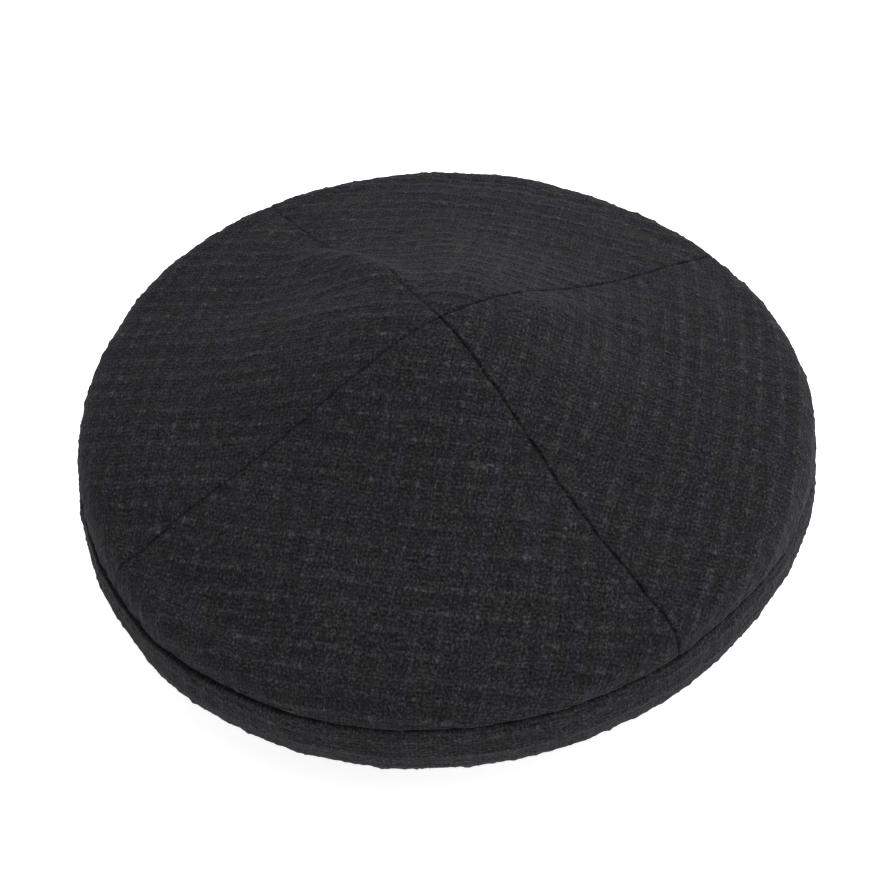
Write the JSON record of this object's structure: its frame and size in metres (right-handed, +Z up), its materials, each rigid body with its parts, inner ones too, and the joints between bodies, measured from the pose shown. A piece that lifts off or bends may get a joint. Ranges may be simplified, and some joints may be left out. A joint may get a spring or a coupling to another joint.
{
  "type": "beret",
  "caption": "Round soft beret of dark tweed with a panelled crown rising to a low point, a seamed rim, a side band, an under ring and a folded headband; lined inside.",
  "frame": {"origin": "on the floor, under the centre of the head opening, at the bottom of the headband", "axes": "+Z up through the apex of the crown; -Y to the wearer's front; +X to the wearer's left"},
  "size_m": [0.2754, 0.2754, 0.1098],
  "materials": {
    "tweed": "black wool tweed with a nubby slubbed weave and a faint raised check",
    "interfacing": "matt fused non-woven",
    "interlining": "stiff woven tape",
    "lining": "black twill-weave lining with a soft sheen",
    "ribbon": "black ribbed grosgrain",
    "thread": "black spun polyester thread",
    "label_thread": "dark grey spun polyester thread",
    "maker_label": "blank woven satin label with dull edges",
    "care_label": "blank white folded satin tape"
  },
  "bodies": {
    "headband": {"headband": "tweed", "headband_interlining": "interlining", "sweatband": "ribbon", "headband_seam_thread": "thread", "sweatband_seam_thread": "thread"},
    "crown": {"crown_panel_front": "tweed", "crown_panel_right": "tweed", "crown_panel_back": "tweed", "crown_panel_left": "tweed", "crown_interfacing_front": "interfacing", "crown_interfacing_right": "interfacing", "crown_interfacing_back": "interfacing", "crown_interfacing_left": "interfacing", "crown_lining_front": "lining", "crown_lining_right": "lining", "crown_lining_back": "lining", "crown_lining_left": "lining", "side_band": "tweed", "side_band_interfacing": "interfacing", "side_lining": "lining", "under_ring_left": "tweed", "under_ring_right": "tweed", "under_lining_left": "lining", "under_lining_right": "lining", "under_ring_seam_thread": "thread", "crown_seam_thread": "thread", "side_band_join_thread": "thread", "rim_seam_thread": "thread", "lower_seam_thread": "thread", "maker_label": "maker_label", "maker_label_stitching": "label_thread"},
    "care_label": {"care_label": "care_label"}
  },
  "joints": [
    {"name": "crown_slouch", "type": "hinge", "parent": "headband", "child": "crown", "pos_m": [0, 0, 0.022], "axis": [0, 1, 0], "range_deg": [-6, 6], "stiffness_Nm_per_rad": 0.6, "deforming": ["under_ring_left", "under_ring_right", "under_lining_left", "under_lining_right", "under_ring_seam_thread"]},
    {"name": "care_label_flip", "type": "hinge", "parent": "headband", "child": "care_label", "pos_m": [0, 0.0912, 0.0264], "axis": [1, 0, 0], "range_deg": [0, 200]}
  ]
}
